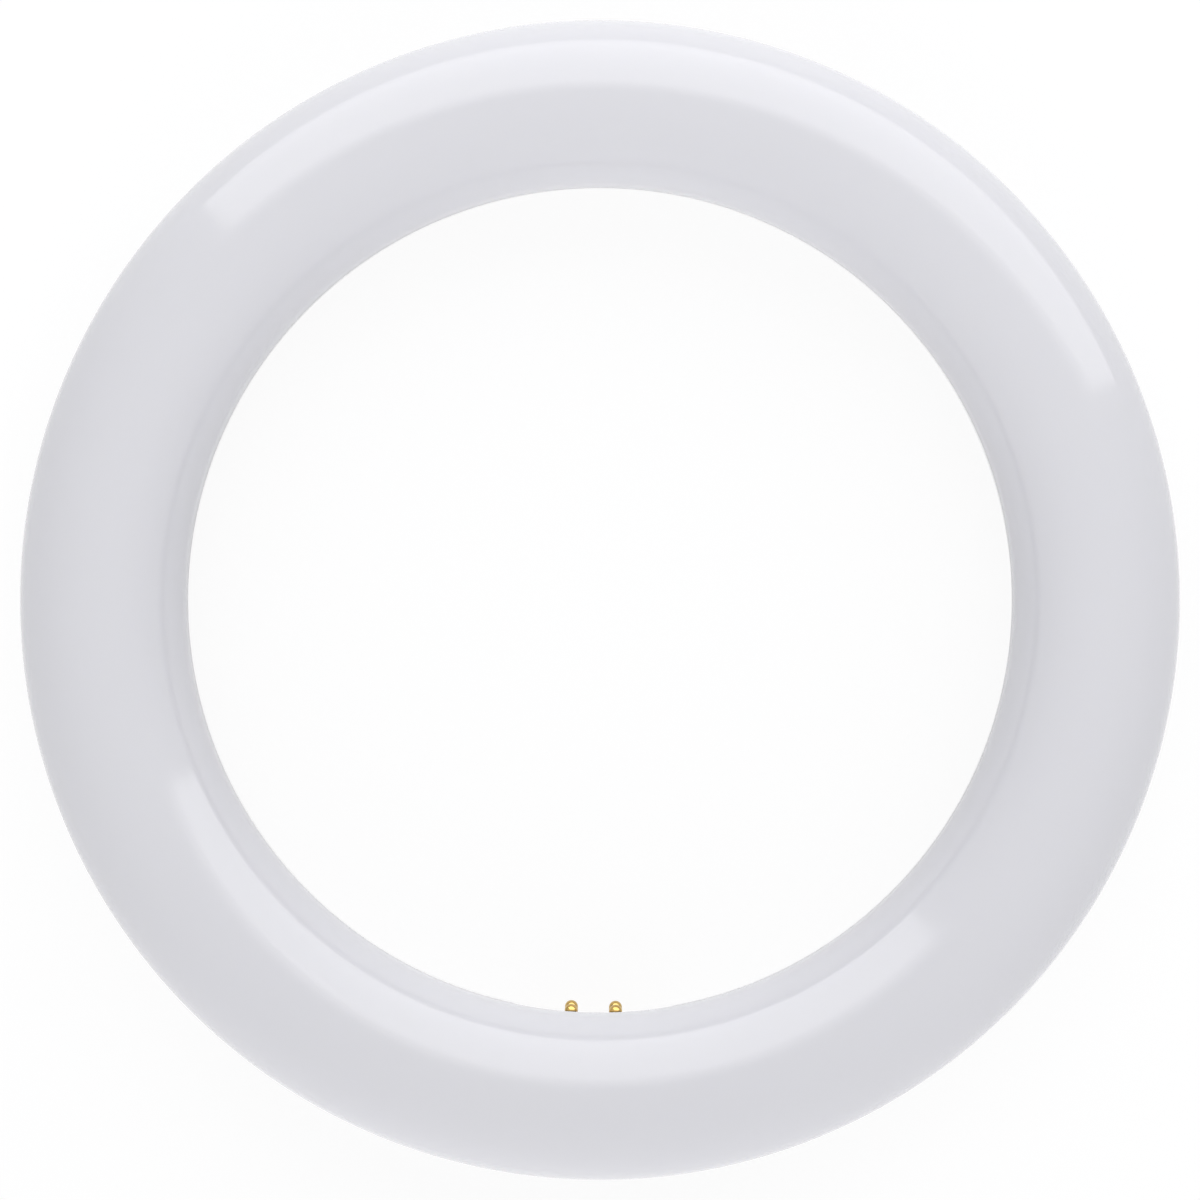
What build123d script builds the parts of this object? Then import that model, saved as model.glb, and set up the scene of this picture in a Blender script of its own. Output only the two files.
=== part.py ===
from build123d import *
import math
import os

# A circular LED tube for a four-pin lampholder. It lies on its back, light side up: +Z runs along
# the ring's axis towards the light side, and the pins stand on the -Y side and point to the centre.
# The origin is the centre of the ring, on the surface that it lies on. All sizes are millimetres.

# Ring
ring_outer_diameter = 205.0
tube_diameter = 29.5
diffuser_wall = 1.4
housing_wall = 1.6
seam_chamfer = 0.25

# Joint between the diffuser and the housing: two lips with a snap bead
lip_thickness = 0.9
lip_height = 2.5
lip_root = 2.0
joint_clearance = 0.1
bead_radius = 0.25
bead_height = 1.45

# Four contact pins
pin_spacing_across = 7.92
pin_spacing_along = 6.35
pin_diameter = 2.35
pin_length = 7.1
pin_tip_past_tube = 0.95
pin_fit = 0.02
pin_shank_diameter = 2.9
pin_collar_diameter = 3.5
pin_collar_length = 0.8
pin_tail_diameter = 1.8
pin_tail_length = 2.4
pin_bore_diameter = 0.9
pin_bore_depth = 2.4

# Lampholder that the recess has to admit
holder_width = 25.0
holder_height = 14.5
holder_side_room = 1.5
holder_top_room = 0.25

# Recess, and the saddle that carries its face: its back is this far above the lampholder's underside
saddle_rise = 0.3
saddle_floor = 1.5
saddle_corner = 0.5
ceiling_thickness = 1.5

# Pin base, an insert that snaps into a window in the recess's face
boss_width = 17.8
boss_height = 10.4
boss_proud = 1.2
boss_chamfer = 0.4
window_clearance = 0.1
flange_width = 21.4
flange_height = 12.0
flange_thickness = 2.4
barb_reach = 0.5
barb_length = 0.8
barb_height = 4.0
pin_pad_diameter = 4.2
pin_pad_height = 0.3

# LED board and its light sources
board_side_clearance = 0.35
board_thickness = 1.2
led_row_offset = 5.5
led_count = 30
led_first_angle = 0.0
led_length = 3.5
led_width = 2.8
led_height = 0.8
led_window_margin = 0.4
led_window_depth = 0.15

# Bosses, webs and screws under the LED board
boss_first_angle = 6.0
boss_step_angle = 48.0
boss_count = 6
screw_boss_diameter = 6.0
web_thickness = 1.4
screw_diameter = 2.5
screw_length = 8.0
screw_head_diameter = 4.6
screw_head_height = 1.7
screw_clearance = 0.05
screw_hole_clearance = 0.2
screw_hole_spare = 0.5
cross_width = 0.7
cross_span = 2.6
cross_depth = 0.9

# Driver board
driver_first_angle = -71.0
driver_last_angle = -9.0
driver_width = 16.8
driver_thickness = 1.2
driver_underside_z = 5.0
driver_post_diameter = 4.6
driver_screw_angles = (-65.0, -15.5)
driver_web_angles = (-54.0, -40.0, -27.0)
driver_screw_diameter = 2.0
driver_screw_length = 4.0
driver_screw_head_diameter = 3.6
driver_screw_head_height = 1.3

# Electrolytic capacitors
input_capacitor_angle = -39.0
input_capacitor_offset = -3.5
input_capacitor_diameter = 8.0
input_capacitor_length = 13.0
output_capacitor_angle = -20.5
output_capacitor_offset = -4.0
output_capacitor_diameter = 6.3
output_capacitor_length = 11.0
can_edge = 0.4
can_groove_place = 2.2
can_groove_depth = 0.4
can_leg_pitch = 3.0
leg_diameter = 0.6
leg_root = 0.6
leg_reach = 1.3
leg_bend = 0.6

# Transformer
transformer_angle = -30.0
transformer_length = 10.6
transformer_width = 12.0
transformer_height = 8.4
core_depth = 4.8
core_limb = 1.7
core_middle = 2.8
core_fit = 0.05
bobbin_wall = 0.5
bobbin_flange = 0.6
winding_margin = 0.3
winding_corner = 0.8

# Choke, varistor, fuse resistor and film capacitor
choke_angle = -50.8
choke_offset = -3.4
choke_diameter = 7.2
choke_height = 7.0
choke_flange = 1.1
choke_drum_diameter = 3.6
choke_winding_diameter = 6.4
varistor_angle = -59.5
varistor_offset = 4.0
varistor_diameter = 6.4
varistor_thickness = 3.0
varistor_edge = 0.8
varistor_lift = 1.0
varistor_leg_pitch = 4.0
fuse_angle = -59.5
fuse_offset = -4.2
fuse_diameter = 3.2
fuse_waist_diameter = 2.7
fuse_cap_length = 1.8
fuse_length = 9.0
film_angle = -52.5
film_offset = 3.8
film_length = 10.0
film_width = 4.5
film_height = 8.0
film_corner = 0.5

# Moulded packages
bridge_angle = -46.0
bridge_offset = 3.5
bridge_size = (4.7, 3.9, 2.4)
bridge_leg_count = 2
bridge_leg_pitch = 2.5
chip_angle = -40.0
chip_offset = 4.0
chip_size = (4.9, 3.9, 1.75)
chip_leg_count = 4
chip_leg_pitch = 1.27
diode_angle = -23.8
diode_offset = 3.0
diode_size = (2.6, 4.3, 2.2)
diode_leg_count = 1
package_lift = 0.15
package_bevel = 0.2
package_leg_width = 0.5
package_leg_thickness = 0.2
package_leg_reach = 0.5
package_foot = 0.6

# Leads
lead_diameter = 1.3
lead_core_diameter = 0.8
lead_core_length = 2.0
pad_angle = -68.5
pad_pitch = 3.0
lead_crest = 3.6
near_lead_turn = 3.0
far_lead_turn = 6.5
near_lead_bend = 1.5
far_lead_bend = 2.8
pad_lead_bend = 1.6
output_pad_angle = -11.5
output_pad_pitch = 5.0
lead_hole_clearance = 0.15
lead_rise = 1.2
solder_diameter = 2.8
solder_height = 0.8

# Sizes that follow from those above
ring_radius = (ring_outer_diameter - tube_diameter) / 2
tube_radius = tube_diameter / 2
parting_z = tube_radius
channel_radius = tube_radius - housing_wall
rebate_reach = tube_radius - diffuser_wall
lip_outer = rebate_reach - joint_clearance
lip_inner = lip_outer - lip_thickness
bead_z = parting_z + bead_height
pin_radius = pin_diameter / 2
tip_y = -(ring_radius - tube_radius - pin_tip_past_tube)
base_face_y = tip_y - pin_length
wall_face_y = base_face_y - boss_proud
wall_back_y = wall_face_y - housing_wall
flange_back_y = wall_back_y - flange_thickness
tail_end_y = flange_back_y - pin_tail_length
base_z = parting_z - holder_top_room - holder_height / 2
saddle_z = base_z - holder_height / 2 + saddle_rise
recess_width = holder_width + 2 * holder_side_room
saddle_width = recess_width + 2 * housing_wall
board_z = parting_z + ceiling_thickness
board_half_width = lip_inner - board_side_clearance
board_top_z = board_z + board_thickness
driver_top_z = driver_underside_z + driver_thickness
lead_radius = lead_diameter / 2
leg_radius = leg_diameter / 2
boss_arc = boss_count * boss_step_angle
boss_angles = [boss_first_angle + number * boss_step_angle for number in range(boss_count)]
core_window = (transformer_length - core_middle) / 2 - core_limb
output_pads = (-output_pad_pitch / 2, output_pad_pitch / 2)
past = 1.0

os.makedirs("parts", exist_ok=True)


def station(angle, offset, height):
    """Point at an angle round the ring, an offset outwards from the tube's centre line, and a height."""
    turn = math.radians(angle)
    reach = ring_radius + offset
    return Vector(reach * math.cos(turn), reach * math.sin(turn), height)


def outward(angle):
    """Direction away from the ring's axis."""
    turn = math.radians(angle)
    return Vector(math.cos(turn), math.sin(turn), 0)


def along(angle):
    """Direction along the ring, clockwise seen from the light side."""
    turn = math.radians(angle)
    return Vector(math.sin(turn), -math.cos(turn), 0)


def radial_plane(angle):
    """Plane through the ring's axis: local X is the distance from the axis and local Y is height."""
    return Plane(origin=(0, 0, 0), x_dir=outward(angle), z_dir=along(angle))


def cross_plane(angle, offset, height):
    """Upright plane across the tube: local X points outwards and local Y is up."""
    return Plane(origin=station(angle, offset, height), x_dir=outward(angle), z_dir=along(angle))


def side_plane(angle, offset, height):
    """Upright plane along the tube: local X runs along the ring and local Y is up."""
    return Plane(origin=station(angle, offset, height), x_dir=along(angle), z_dir=-outward(angle))


def level_plane(angle, offset, height):
    """Level plane: local X runs along the ring and local Y points outwards."""
    return Plane(origin=station(angle, offset, height), x_dir=along(angle), z_dir=(0, 0, 1))


def facing_plane(y):
    """Upright plane that faces the ring's centre, level with the middle of the four pins."""
    return Plane(origin=(0, y, base_z), x_dir=(-1, 0, 0), z_dir=(0, 1, 0))


def half_disc(radius, light_side):
    """Adds a half disc round the tube's centre to the open sketch, above or below the parting plane."""
    spare = Align.MAX if light_side else Align.MIN
    with Locations((ring_radius, parting_z)):
        Circle(radius)
        Rectangle(2 * radius + past, radius + past, align=(Align.CENTER, spare), mode=Mode.SUBTRACT)


def web_section(top_z):
    """Adds the section of a web across the housing's channel, up to a height, to the open sketch."""
    with Locations((ring_radius, parting_z)):
        Circle(channel_radius + housing_wall / 2)
    with Locations((ring_radius, top_z)):
        Rectangle(tube_diameter, tube_diameter, align=(Align.CENTER, Align.MIN), mode=Mode.SUBTRACT)


# Front diffuser: an opal half tube, rebated inside for the housing's lips
with BuildPart() as front_diffuser:
    with BuildSketch(Plane.XZ):
        half_disc(tube_radius, light_side=True)
        with Locations((ring_radius, parting_z)):
            Circle(tube_radius - diffuser_wall, mode=Mode.SUBTRACT)
            Rectangle(
                2 * rebate_reach,
                lip_height + 2 * joint_clearance,
                align=(Align.CENTER, Align.MIN),
                mode=Mode.SUBTRACT,
            )
        with Locations((ring_radius - rebate_reach, bead_z), (ring_radius + rebate_reach, bead_z)):
            Circle(bead_radius + joint_clearance, mode=Mode.SUBTRACT)
    revolve(axis=Axis.Z)
    rims = front_diffuser.edges().filter_by_position(Axis.Z, parting_z, parting_z)
    rims = rims.sort_by(SortBy.RADIUS)
    chamfer((rims[0], rims[-1]), seam_chamfer)
front_diffuser.part.label = "front_diffuser"
export_step(front_diffuser.part, "parts/front_diffuser.step")

# Saddle: the block on the tube's back that carries the recess's face
with BuildPart() as saddle:
    with BuildSketch(Plane.XY.offset(saddle_z)):
        with Locations((0, wall_face_y)):
            Rectangle(saddle_width, ring_radius + wall_face_y, align=(Align.CENTER, Align.MAX))
    extrude(amount=parting_z - saddle_z)
    fillet(saddle.faces().sort_by(Axis.Z)[0].edges().sort_by(Axis.Y)[1:], saddle_corner)

# Channel: the hollow of the housing, kept back from the recess's walls
with BuildPart() as channel:
    with BuildSketch(Plane.XZ):
        half_disc(channel_radius, light_side=False)
    revolve(axis=Axis.Z)
    with BuildSketch(Plane.XY):
        with Locations((0, wall_back_y)):
            Rectangle(saddle_width, tube_diameter, align=(Align.CENTER, Align.MIN))
    extrude(amount=parting_z, mode=Mode.SUBTRACT)
    with BuildSketch(Plane.XY.offset(saddle_z + saddle_floor)):
        with Locations((0, wall_back_y)):
            Rectangle(recess_width, ring_radius + wall_back_y, align=(Align.CENTER, Align.MAX))
    extrude(amount=parting_z - saddle_z - saddle_floor)

# Back housing: a half tube with lips, webs and bosses inside, and the recess for the lampholder
with BuildPart() as back_housing:
    with BuildSketch(Plane.XZ):
        half_disc(tube_radius, light_side=False)
    revolve(axis=Axis.Z)
    rims = back_housing.edges().filter_by_position(Axis.Z, parting_z, parting_z)
    rims = rims.filter_by(GeomType.CIRCLE)
    chamfer(rims, seam_chamfer)
    add(saddle.part)
    add(channel.part, mode=Mode.SUBTRACT)
    # Lips with their snap beads
    with BuildSketch(Plane.XZ):
        for side in (-1, 1):
            lip_middle = ring_radius + side * (lip_outer + lip_inner) / 2
            with Locations((lip_middle, parting_z - lip_root)):
                Rectangle(lip_thickness, lip_root + lip_height, align=(Align.CENTER, Align.MIN))
            with Locations((ring_radius + side * rebate_reach, bead_z)):
                Circle(bead_radius)
    revolve(axis=Axis.Z)
    # Webs: high ones at the bosses of the LED board, low ones under the driver board
    for angle in boss_angles:
        with BuildSketch(radial_plane(angle)):
            web_section(parting_z)
        extrude(amount=web_thickness / 2, both=True)
    for angle in driver_web_angles:
        with BuildSketch(radial_plane(angle)):
            web_section(driver_underside_z)
        extrude(amount=web_thickness / 2, both=True)
    # Bosses for the LED board and posts for the driver board, each with a hole for its screw
    for angle in boss_angles:
        with BuildSketch(level_plane(angle, 0, housing_wall / 2)):
            Circle(screw_boss_diameter / 2)
        extrude(amount=board_z - housing_wall / 2)
        with BuildSketch(level_plane(angle, 0, board_z)):
            Circle(screw_diameter / 2 + screw_clearance)
        extrude(amount=-(screw_length - board_thickness + screw_hole_spare), mode=Mode.SUBTRACT)
    for angle in driver_screw_angles:
        with BuildSketch(level_plane(angle, 0, housing_wall / 2)):
            Circle(driver_post_diameter / 2)
        extrude(amount=driver_underside_z - housing_wall / 2)
        with BuildSketch(level_plane(angle, 0, driver_underside_z)):
            Circle(driver_screw_diameter / 2 + screw_clearance)
        extrude(amount=-(driver_screw_length - driver_thickness + screw_hole_spare), mode=Mode.SUBTRACT)
    # Ceiling that closes the recess off from the light side
    with BuildSketch(Plane.XY.offset(parting_z)):
        with Locations((0, wall_back_y)):
            Rectangle(saddle_width, tube_diameter, align=(Align.CENTER, Align.MIN))
        Circle(ring_radius - lip_outer, mode=Mode.SUBTRACT)
    extrude(amount=ceiling_thickness)
    # Recess, open to the back and to the ring's centre, with a window for the pin base
    with BuildSketch(Plane.XY):
        with Locations((0, wall_face_y)):
            Rectangle(recess_width, tube_diameter, align=(Align.CENTER, Align.MIN))
    extrude(amount=parting_z, mode=Mode.SUBTRACT)
    with BuildSketch(facing_plane(wall_face_y)):
        Rectangle(boss_width + 2 * window_clearance, boss_height + 2 * window_clearance)
    extrude(amount=-housing_wall, mode=Mode.SUBTRACT)
back_housing.part.label = "back_housing"
export_step(back_housing.part, "parts/back_housing.step")

# Pin base: a boss that comes through the window from behind, a flange that stops it and two barbs
with BuildPart() as pin_base:
    with BuildSketch(facing_plane(wall_back_y)):
        Rectangle(boss_width, boss_height)
    extrude(amount=boss_proud + housing_wall)
    chamfer(pin_base.faces().sort_by(Axis.Y)[-1].edges(), boss_chamfer)
    with BuildSketch(facing_plane(wall_back_y)):
        with Locations((0, -boss_height / 2)):
            Rectangle(flange_width, flange_height, align=(Align.CENTER, Align.MIN))
    extrude(amount=-flange_thickness)
    with BuildSketch(Plane.XY.offset(base_z)):
        for side in (-1, 1):
            with BuildLine():
                Polyline(
                    (side * boss_width / 2, wall_face_y),
                    (side * (boss_width / 2 + barb_reach), wall_face_y),
                    (side * boss_width / 2, wall_face_y + barb_length),
                    close=True,
                )
            make_face()
    extrude(amount=barb_height / 2, both=True)
    with BuildSketch(facing_plane(base_face_y)):
        with GridLocations(pin_spacing_across, pin_spacing_along, 2, 2):
            Circle(pin_pad_diameter / 2)
    extrude(amount=pin_pad_height)
    with BuildSketch(facing_plane(flange_back_y)):
        with GridLocations(pin_spacing_across, pin_spacing_along, 2, 2):
            Circle(pin_shank_diameter / 2 + pin_fit)
    extrude(amount=base_face_y + pin_pad_height - flange_back_y, mode=Mode.SUBTRACT)
    with BuildSketch(facing_plane(flange_back_y)):
        with GridLocations(pin_spacing_across, pin_spacing_along, 2, 2):
            Circle(pin_collar_diameter / 2 + pin_fit)
    extrude(amount=pin_collar_length, mode=Mode.SUBTRACT)
pin_base.part.label = "pin_base"
export_step(pin_base.part, "parts/pin_base.step")

# Contact pins: turned, with a round tip, a thicker shank and a collar seated in the base, and a
# bored tail for the lead
pin_places = [
    (side * pin_spacing_across / 2, base_z + row * pin_spacing_along / 2) for side in (1, -1) for row in (1, -1)
]
collar_front = flange_back_y + pin_collar_length - base_face_y
collar_back = flange_back_y - base_face_y
tail_end = tail_end_y - base_face_y

for number, (pin_x, pin_z) in enumerate(pin_places, start=1):
    with BuildPart() as contact_pin:
        with BuildSketch(Plane((pin_x, base_face_y, pin_z))):
            with BuildLine():
                CenterArc((0, pin_length - pin_radius), pin_radius, 0, 90)
                Polyline(
                    (pin_radius, pin_length - pin_radius),
                    (pin_radius, pin_pad_height),
                    (pin_shank_diameter / 2, pin_pad_height),
                    (pin_shank_diameter / 2, collar_front),
                    (pin_collar_diameter / 2, collar_front),
                    (pin_collar_diameter / 2, collar_back),
                    (pin_tail_diameter / 2, collar_back),
                    (pin_tail_diameter / 2, tail_end),
                    (pin_bore_diameter / 2, tail_end),
                    (pin_bore_diameter / 2, tail_end + pin_bore_depth),
                    (0, tail_end + pin_bore_depth),
                    (0, pin_length),
                )
            make_face()
        revolve(axis=Axis((pin_x, base_face_y, pin_z), (0, 1, 0)))
    contact_pin.part.label = f"contact_pin_{number}"
    export_step(contact_pin.part, f"parts/contact_pin_{number}.step")

# LED board: an aluminium ring on the bosses and the ceiling
with BuildPart() as led_board:
    with BuildSketch(Plane.XY.offset(board_z)):
        Circle(ring_radius + board_half_width)
        Circle(ring_radius - board_half_width, mode=Mode.SUBTRACT)
        with PolarLocations(ring_radius, boss_count, start_angle=boss_first_angle, angular_range=boss_arc):
            Circle(screw_diameter / 2 + screw_hole_clearance, mode=Mode.SUBTRACT)
        with Locations(*[station(output_pad_angle, offset, 0) for offset in output_pads]):
            Circle(lead_radius + lead_hole_clearance, mode=Mode.SUBTRACT)
    extrude(amount=board_thickness)
led_board.part.label = "led_board"
export_step(led_board.part, "parts/led_board.step")

# LED chips: two rows of like packages, each with a shallow window
with BuildPart() as led_chips:
    for row_radius in (ring_radius - led_row_offset, ring_radius + led_row_offset):
        with BuildSketch(Plane.XY.offset(board_top_z)):
            with PolarLocations(row_radius, led_count, start_angle=led_first_angle):
                Rectangle(led_width, led_length)
        extrude(amount=led_height)
        with BuildSketch(Plane.XY.offset(board_top_z + led_height)):
            with PolarLocations(row_radius, led_count, start_angle=led_first_angle):
                Rectangle(led_width - 2 * led_window_margin, led_length - 2 * led_window_margin)
        extrude(amount=-led_window_depth, mode=Mode.SUBTRACT)
led_chips.part.label = "led_chips"
export_step(led_chips.part, "parts/led_chips.step")


def pan_screw(seat, diameter, length, head_diameter, head_height):
    """A pan-head screw with a cross recess, its head standing on the seat plane."""
    with BuildPart() as screw:
        with BuildSketch(seat):
            Circle(head_diameter / 2)
        extrude(amount=head_height)
        fillet(screw.faces().sort_by(Axis.Z)[-1].edges(), head_height / 2)
        with BuildSketch(seat):
            Circle(diameter / 2)
        extrude(amount=-length)
        chamfer(screw.faces().sort_by(Axis.Z)[0].edges(), diameter / 4)
        with BuildSketch(seat.offset(head_height)):
            Rectangle(cross_span, cross_width)
            Rectangle(cross_width, cross_span)
        extrude(amount=-cross_depth, mode=Mode.SUBTRACT)
    return screw.part


# Screws of the LED board
board_screws = [
    pan_screw(
        level_plane(angle, 0, board_top_z), screw_diameter, screw_length, screw_head_diameter, screw_head_height
    )
    for angle in boss_angles
]
with BuildPart() as led_board_screws:
    add(board_screws)
led_board_screws.part.label = "led_board_screws"
export_step(led_board_screws.part, "parts/led_board_screws.step")

# Driver board: an arc of circuit board on its posts and webs
with BuildPart() as driver_board:
    with BuildSketch(radial_plane(driver_first_angle)):
        with Locations((ring_radius, driver_underside_z)):
            Rectangle(driver_width, driver_thickness, align=(Align.CENTER, Align.MIN))
    revolve(axis=Axis.Z, revolution_arc=driver_last_angle - driver_first_angle)
    for angle in driver_screw_angles:
        with BuildSketch(level_plane(angle, 0, driver_underside_z)):
            Circle(driver_screw_diameter / 2 + screw_hole_clearance)
        extrude(amount=driver_thickness, mode=Mode.SUBTRACT)
driver_board.part.label = "driver_board"
export_step(driver_board.part, "parts/driver_board.step")

# Screws of the driver board
post_screws = [
    pan_screw(
        level_plane(angle, 0, driver_top_z),
        driver_screw_diameter,
        driver_screw_length,
        driver_screw_head_diameter,
        driver_screw_head_height,
    )
    for angle in driver_screw_angles
]
with BuildPart() as driver_screws:
    add(post_screws)
driver_screws.part.label = "driver_screws"
export_step(driver_screws.part, "parts/driver_screws.step")


def electrolytic(angle, offset, diameter, length):
    """A can that lies on the driver board, with a crimped groove and two legs bent down to the board."""
    radius = diameter / 2
    lying = side_plane(angle, offset, driver_top_z + radius)
    groove = length / 2 - can_groove_place
    with BuildPart() as can:
        with BuildSketch(lying):
            with BuildLine():
                Polyline(
                    (-length / 2, 0),
                    (-length / 2, radius - can_edge),
                    (-length / 2 + can_edge, radius),
                    (groove - can_groove_depth, radius),
                    (groove, radius - can_groove_depth),
                    (groove + can_groove_depth, radius),
                    (length / 2 - can_edge, radius),
                    (length / 2, radius - can_edge),
                    (length / 2, 0),
                    close=True,
                )
            make_face()
        revolve(axis=Axis(lying.origin, lying.x_dir))
        for side in (-1, 1):
            with BuildLine(side_plane(angle, offset + side * can_leg_pitch / 2, driver_top_z + radius)) as leg:
                FilletPolyline(
                    (length / 2 - leg_root, 0),
                    (length / 2 + leg_reach, 0),
                    (length / 2 + leg_reach, -radius),
                    radius=leg_bend,
                )
            with BuildSketch(Plane(origin=leg.line @ 0, z_dir=leg.line % 0)):
                Circle(leg_radius)
            sweep()
    return can.part


# Input and output capacitors
input_capacitor = electrolytic(
    input_capacitor_angle, input_capacitor_offset, input_capacitor_diameter, input_capacitor_length
)
input_capacitor.label = "input_capacitor"
export_step(input_capacitor, "parts/input_capacitor.step")
output_capacitor = electrolytic(
    output_capacitor_angle, output_capacitor_offset, output_capacitor_diameter, output_capacitor_length
)
output_capacitor.label = "output_capacitor"
export_step(output_capacitor, "parts/output_capacitor.step")

# Transformer core: a closed frame with a middle limb
with BuildPart() as transformer_core:
    with BuildSketch(side_plane(transformer_angle, 0, driver_top_z)):
        Rectangle(transformer_length, transformer_height, align=(Align.CENTER, Align.MIN))
        for side in (-1, 1):
            with Locations((side * (core_middle + core_window) / 2, core_limb)):
                Rectangle(
                    core_window,
                    transformer_height - 2 * core_limb,
                    align=(Align.CENTER, Align.MIN),
                    mode=Mode.SUBTRACT,
                )
    extrude(amount=core_depth / 2, both=True)
transformer_core.part.label = "transformer_core"
export_step(transformer_core.part, "parts/transformer_core.step")

# Transformer bobbin: two flanges and a tube round the middle limb, on two rails
flange_span = core_middle + 2 * core_window - 2 * core_fit
bobbin_bottom_z = driver_top_z + core_limb + core_fit
bobbin_top_z = driver_top_z + transformer_height - core_limb - core_fit
rail_width = transformer_width / 2 - core_depth / 2 - core_fit
tube_span = core_middle + 2 * core_fit + 2 * bobbin_wall
tube_depth = core_depth + 2 * core_fit + 2 * bobbin_wall

with BuildPart() as transformer_bobbin:
    for flange_z in (bobbin_bottom_z, bobbin_top_z - bobbin_flange):
        with BuildSketch(level_plane(transformer_angle, 0, flange_z)):
            Rectangle(flange_span, transformer_width)
        extrude(amount=bobbin_flange)
    with BuildSketch(level_plane(transformer_angle, 0, bobbin_bottom_z)):
        Rectangle(tube_span, tube_depth)
    extrude(amount=bobbin_top_z - bobbin_bottom_z)
    with BuildSketch(level_plane(transformer_angle, 0, bobbin_bottom_z)):
        Rectangle(core_middle + 2 * core_fit, core_depth + 2 * core_fit)
    extrude(amount=bobbin_top_z - bobbin_bottom_z, mode=Mode.SUBTRACT)
    with BuildSketch(level_plane(transformer_angle, 0, driver_top_z)):
        for side in (-1, 1):
            with Locations((0, side * (transformer_width - rail_width) / 2)):
                Rectangle(flange_span, rail_width)
    extrude(amount=core_limb + core_fit)
transformer_bobbin.part.label = "transformer_bobbin"
export_step(transformer_bobbin.part, "parts/transformer_bobbin.step")

# Transformer winding, between the bobbin's flanges
with BuildPart() as transformer_winding:
    with BuildSketch(level_plane(transformer_angle, 0, bobbin_bottom_z + bobbin_flange)):
        RectangleRounded(
            flange_span - 2 * winding_margin, transformer_width - 2 * winding_margin, winding_corner
        )
        Rectangle(tube_span, tube_depth, mode=Mode.SUBTRACT)
    extrude(amount=bobbin_top_z - bobbin_bottom_z - 2 * bobbin_flange)
transformer_winding.part.label = "transformer_winding"
export_step(transformer_winding.part, "parts/transformer_winding.step")

# Choke: a ferrite drum and its winding
choke_plane = side_plane(choke_angle, choke_offset, driver_top_z)
choke_axis = Axis(choke_plane.origin, (0, 0, 1))

with BuildPart() as choke_core:
    with BuildSketch(choke_plane):
        Rectangle(choke_diameter / 2, choke_height, align=(Align.MIN, Align.MIN))
        with Locations((choke_drum_diameter / 2, choke_flange)):
            Rectangle(
                choke_diameter / 2,
                choke_height - 2 * choke_flange,
                align=(Align.MIN, Align.MIN),
                mode=Mode.SUBTRACT,
            )
    revolve(axis=choke_axis)
choke_core.part.label = "choke_core"
export_step(choke_core.part, "parts/choke_core.step")

with BuildPart() as choke_winding:
    with BuildSketch(choke_plane):
        with Locations((choke_drum_diameter / 2, choke_flange)):
            Rectangle(
                (choke_winding_diameter - choke_drum_diameter) / 2,
                choke_height - 2 * choke_flange,
                align=(Align.MIN, Align.MIN),
            )
    revolve(axis=choke_axis)
choke_winding.part.label = "choke_winding"
export_step(choke_winding.part, "parts/choke_winding.step")

# Varistor: a coated disc that stands on two legs
varistor_z = driver_top_z + varistor_lift + varistor_diameter / 2

with BuildPart() as varistor:
    with BuildSketch(side_plane(varistor_angle, varistor_offset, varistor_z)):
        Circle(varistor_diameter / 2)
    extrude(amount=varistor_thickness / 2, both=True)
    fillet(varistor.edges().filter_by(GeomType.CIRCLE), varistor_edge)
    with BuildSketch(level_plane(varistor_angle, varistor_offset, driver_top_z)):
        with GridLocations(varistor_leg_pitch, 0, 2, 1):
            Circle(leg_radius)
    extrude(amount=varistor_z - driver_top_z)
varistor.part.label = "varistor"
export_step(varistor.part, "parts/varistor.step")

# Fuse resistor: a body with two caps that lies on the board, and a leg at each end
fuse_plane = side_plane(fuse_angle, fuse_offset, driver_top_z + fuse_diameter / 2)
fuse_waist = fuse_length / 2 - fuse_cap_length
fuse_taper = (fuse_diameter - fuse_waist_diameter) / 2

with BuildPart() as fuse_resistor:
    with BuildSketch(fuse_plane):
        with BuildLine():
            Polyline(
                (-fuse_length / 2, 0),
                (-fuse_length / 2, fuse_diameter / 2),
                (-fuse_waist - fuse_taper, fuse_diameter / 2),
                (-fuse_waist, fuse_waist_diameter / 2),
                (fuse_waist, fuse_waist_diameter / 2),
                (fuse_waist + fuse_taper, fuse_diameter / 2),
                (fuse_length / 2, fuse_diameter / 2),
                (fuse_length / 2, 0),
                close=True,
            )
        make_face()
    revolve(axis=Axis(fuse_plane.origin, fuse_plane.x_dir))
    for side in (-1, 1):
        with BuildLine(fuse_plane) as leg:
            FilletPolyline(
                (side * (fuse_length / 2 - leg_root), 0),
                (side * (fuse_length / 2 + leg_reach), 0),
                (side * (fuse_length / 2 + leg_reach), -fuse_diameter / 2),
                radius=leg_bend,
            )
        with BuildSketch(Plane(origin=leg.line @ 0, z_dir=leg.line % 0)):
            Circle(leg_radius)
        sweep()
fuse_resistor.part.label = "fuse_resistor"
export_step(fuse_resistor.part, "parts/fuse_resistor.step")

# Film capacitor that filters the mains side
with BuildPart() as filter_capacitor:
    with BuildSketch(level_plane(film_angle, film_offset, driver_top_z)):
        Rectangle(film_length, film_width)
    extrude(amount=film_height)
    fillet(filter_capacitor.edges().filter_by(Axis.Z), film_corner)
filter_capacitor.part.label = "filter_capacitor"
export_step(filter_capacitor.part, "parts/filter_capacitor.step")


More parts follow.
